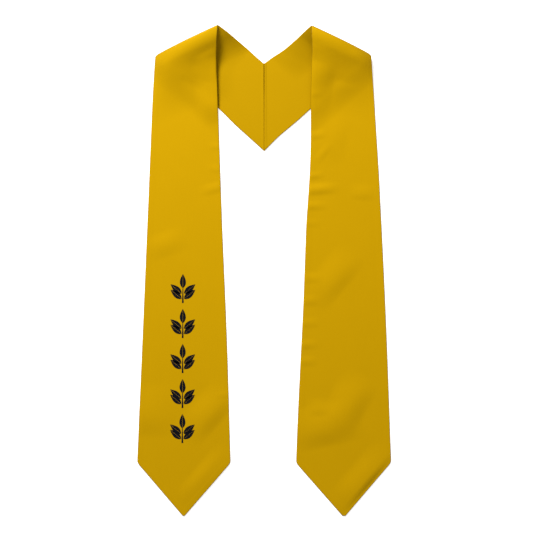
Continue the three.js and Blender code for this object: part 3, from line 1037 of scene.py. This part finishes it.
def laurel_tree():
    """A flat laurel sprig: pairs of split leaves up a tapering stem, and one leaf at the top."""
    ins = {**SPRIG_SIZES, "Ink": "Material"}
    nodes, given = node_group("laurel sprig", "GeometryNodeTree", ins, {"Geometry": "Geometry"})
    leaf = nodes.join([half_leaf(nodes, given, hand) for hand in (-1.0, 1.0)])
    foot = given["Height"] * -0.5
    top = given["Height"] * 0.5 - given["Leaf length"]
    first = given["Height"].scaled(BARE_STEM, plus=foot)
    rise = (top - first) / given["Leaf pairs"]
    parts = []
    for hand in (-1.0, 1.0):
        start = nodes.vector(given["Stem width"] * (hand * LEAF_STANDOFF), first)
        row = {"Count": given["Leaf pairs"], "Start Location": start, "Offset": nodes.vector(y=rise)}
        copies = {
            "Points": nodes.add("GeometryNodeMeshLine", row),
            "Instance": leaf,
            "Rotation": nodes.vector(z=given["Leaf angle"] * -hand),
        }
        parts.append(nodes.add("GeometryNodeInstanceOnPoints", copies))
    crown = {"Geometry": leaf, "Translation": nodes.vector(y=top)}
    parts.append(nodes.add("GeometryNodeTransform", crown))
    grid, over, up = flat_grid(nodes, *STEM_GRID)
    x = over * given["Stem width"] * up.scaled(-STEM_TAPER, plus=1.0)
    parts.append(set_places(nodes, grid, x, up.scaled(top - foot, plus=foot)))
    return finish_tree(nodes, parts, given["Ink"])


def sprig_piece(scene, number, flat, band, material):
    """One sprig, laid on the left front's face and given its thickness."""
    prints = scene.stole_print
    vertices = np.array([vertex.co[:] for vertex in flat.vertices])
    faces = np.array([list(polygon.vertices) for polygon in flat.polygons])
    across = vertices[:, 0] + prints.shift
    along = prints.first + number * prints.pitch - vertices[:, 1]
    middle = band.middle("left", along, across)
    down = band.middle("left", along + NORMAL_STEP, across) - middle
    over = band.middle("left", along, across - NORMAL_STEP) - middle
    normal = np.cross(down, over)
    normal /= np.linalg.norm(normal, axis=-1, keepdims=True)
    rise = band.face_rise("left", along, across) + PRINT_STANDOFF
    sheets = [to_frame("left", middle + normal * (rise + lift)[:, None]) for lift in (prints.film, 0.0)]
    return thick_film(f"laurel_sprig_{number + 1}", np.vstack(sheets), faces, len(vertices), material)


def thick_film(name, points, faces, count, material):
    """A closed film from its faces on the outer sheet, the inner sheet count points further on."""
    edges = {}
    for face in faces.tolist():
        for a, b in zip(face, face[1:] + face[:1]):
            edges[(a, b)] = edges.get((b, a)) is None
            if (b, a) in edges:
                edges[(a, b)] = edges[(b, a)] = False
    rim = [(b, a, a + count, b + count) for (a, b), alone in edges.items() if alone]
    closed = np.vstack([faces, faces[:, ::-1] + count, np.array(rim)])
    return finished_mesh(name, points, closed, material)


def seam_tree():
    """The joining thread down a groove, with slanted stitches across it."""
    ins = {"Start": "Vector", "End": "Vector", **SEAM_SIZES, "Thread": "Material"}
    nodes, given = node_group("back seam", "GeometryNodeTree", ins, {"Geometry": "Geometry"})

    def line(start, end):
        return nodes.add("GeometryNodeCurvePrimitiveLine", {"Start": start, "End": end})

    def sunk(end, drop):
        inputs = {0: given[end], 1: nodes.vector(z=given[drop])}
        return nodes.add("ShaderNodeVectorMath", inputs, operation="SUBTRACT")

    def tube(curve, width, sides):
        ring = {"Resolution": sides, "Radius": width * 0.5}
        profile = nodes.add("GeometryNodeCurvePrimitiveCircle", ring)
        swept = {"Curve": curve, "Profile Curve": profile, "Fill Caps": True}
        return nodes.add("GeometryNodeCurveToMesh", swept)

    groove = line(sunk("Start", "Top drop"), sunk("End", "Foot drop"))
    fine = nodes.add("GeometryNodeResampleCurve", {"Curve": groove, "Count": CORD_POINTS})
    reach = given["Stitch length"] * 0.5
    arch = {
        "Resolution": STITCH_POINTS,
        "Start": nodes.vector(reach * -1.0),
        "Middle": nodes.vector(z=given["Stitch width"]),
        "End": nodes.vector(reach),
    }
    bow = nodes.add("GeometryNodeCurveQuadraticBezier", arch)
    spaced = {"Curve": line(given["Start"], given["End"]), "Length": given["Stitch pitch"]}
    slant, scatter = given["Stitch slant"], given["Stitch scatter"]
    spread = {"Min": slant - scatter, "Max": slant + scatter, "Seed": given["Seed"]}
    turn = nodes.add("FunctionNodeRandomValue", spread)["Value"]
    copies = {
        "Points": nodes.add("GeometryNodeCurveToPoints", spaced, mode="LENGTH"),
        "Instance": tube(bow, given["Stitch width"], STITCH_SIDES),
        "Rotation": nodes.vector(z=turn),
    }
    stitches = nodes.add("GeometryNodeInstanceOnPoints", copies)
    return finish_tree(nodes, [tube(fine, given["Cord width"], CORD_SIDES), stitches], given["Thread"])


def finish_piece(piece, nodes=()):
    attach(piece, BODY)
    if nodes:
        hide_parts(*nodes)


class STOLE_OT_cloths(bpy.types.Operator):
    """Make the face and the backing of both bands"""

    bl_idname = "stole.cloths"
    bl_label = "Band cloths"

    def execute(self, context):
        scene = context.scene
        made = materials(scene)
        for side in SIDES:
            for layer in ("face", "backing"):
                piece, band = cloth_piece(scene, side, layer, made[f"{layer} satin"])
                finish_piece(piece, [f"{side}_{layer}"])
                flat_area(band)
        return {"FINISHED"}


class STOLE_OT_seam(bpy.types.Operator):
    """Make the joining thread and the stitches of the centre-back seam"""

    bl_idname = "stole.seam"
    bl_label = "Back seam"

    def execute(self, context):
        scene = context.scene
        start, end = BandLay(scene).seam_ends()
        inputs = {"Start": start, "End": end, "Thread": materials(scene)["sewing thread"]}
        inputs.update(size_inputs(scene.stole_seam, SEAM_SIZES))
        name = "back_seam_thread"
        finish_piece(linked(name, grown(name, seam_tree(), inputs)))
        return {"FINISHED"}


class STOLE_OT_print(bpy.types.Operator):
    """Make the printed laurel sprigs on the left front"""

    bl_idname = "stole.print"
    bl_label = "Laurel print"

    def execute(self, context):
        scene = context.scene
        ink = materials(scene)["black print"]
        prints = scene.stole_print
        flat = grown("flat_sprig", laurel_tree(), {"Ink": ink, **size_inputs(prints, SPRIG_SIZES)})
        band = BandLay(scene)
        for number in range(prints.count):
            finish_piece(sprig_piece(scene, number, flat, band, ink))
        return {"FINISHED"}


class STOLE_OT_stage(bpy.types.Operator):
    """Make the table, the lights and the camera"""

    bl_idname = "stole.stage"
    bl_label = "Stage"

    def execute(self, context):
        scene = context.scene
        stage = scene.stole_stage
        mesh = bpy.data.meshes.new("table_top")
        signs = ((-1, -1), (1, -1), (1, 1), (-1, 1))
        corners = [(x * TABLE_REACH, y * TABLE_REACH, 0) for x, y in signs]
        mesh.from_pydata(corners, [], [(0, 1, 2, 3)])
        mesh.materials.append(materials(scene)["pale table"])
        linked("table_top", mesh)
        self.add_light("key", stage.key_power)
        self.add_light("fill", stage.fill_power)
        self.add_sky(scene, stage.sky)
        self.add_camera(scene, stage)
        scene.view_settings.view_transform = "Standard"
        return {"FINISHED"}

    def add_light(self, name, power):
        data = bpy.data.lights.new(name, "AREA")
        data.energy = power
        data.size, place = LIGHTS[name]
        light = linked(name, data)
        light.location = place
        light.rotation_euler = (-light.location).to_track_quat("-Z", "Y").to_euler()

    def add_sky(self, scene, strength):
        world = bpy.data.worlds.new("studio")
        world.use_nodes = True
        background = world.node_tree.nodes["Background"]
        background.inputs["Color"].default_value = (1.0, 1.0, 1.0, 1.0)
        background.inputs["Strength"].default_value = strength
        scene.world = world

    def add_camera(self, scene, stage):
        data = bpy.data.cameras.new("camera")
        data.lens = stage.lens
        data.clip_end = 100
        camera = linked("camera", data)
        camera.location = (stage.aim_x, stage.aim_y, stage.frame_width * stage.lens / data.sensor_width)
        scene.camera = camera


class STOLE_PT_panel(bpy.types.Panel):
    """The stole's makers and their sizes"""

    bl_idname = "STOLE_PT_panel"
    bl_label = "Graduation stole"
    bl_space_type = "VIEW_3D"
    bl_region_type = "UI"
    bl_category = "Stole"

    def draw(self, context):
        for operator in OPERATORS:
            self.layout.operator(operator.bl_idname)
        for name, group in GROUPS.items():
            box = self.layout.box()
            box.label(text=group.__doc__)
            for prop in group.__annotations__:
                box.prop(getattr(context.scene, name), prop)


OPERATORS = (STOLE_OT_cloths, STOLE_OT_seam, STOLE_OT_print, STOLE_OT_stage)
CLASSES = (*GROUPS.values(), *OPERATORS, STOLE_PT_panel)


def register():
    for cls in CLASSES:
        bpy.utils.register_class(cls)
    for name, group in GROUPS.items():
        setattr(bpy.types.Scene, name, PointerProperty(type=group))


def unregister():
    for name in GROUPS:
        delattr(bpy.types.Scene, name)
    for cls in reversed(CLASSES):
        bpy.utils.unregister_class(cls)


def main():
    register()
    bpy.ops.stole.cloths()
    bpy.ops.stole.seam()
    bpy.ops.stole.print()
    bpy.ops.stole.stage()


if __name__ == "__main__":
    main()
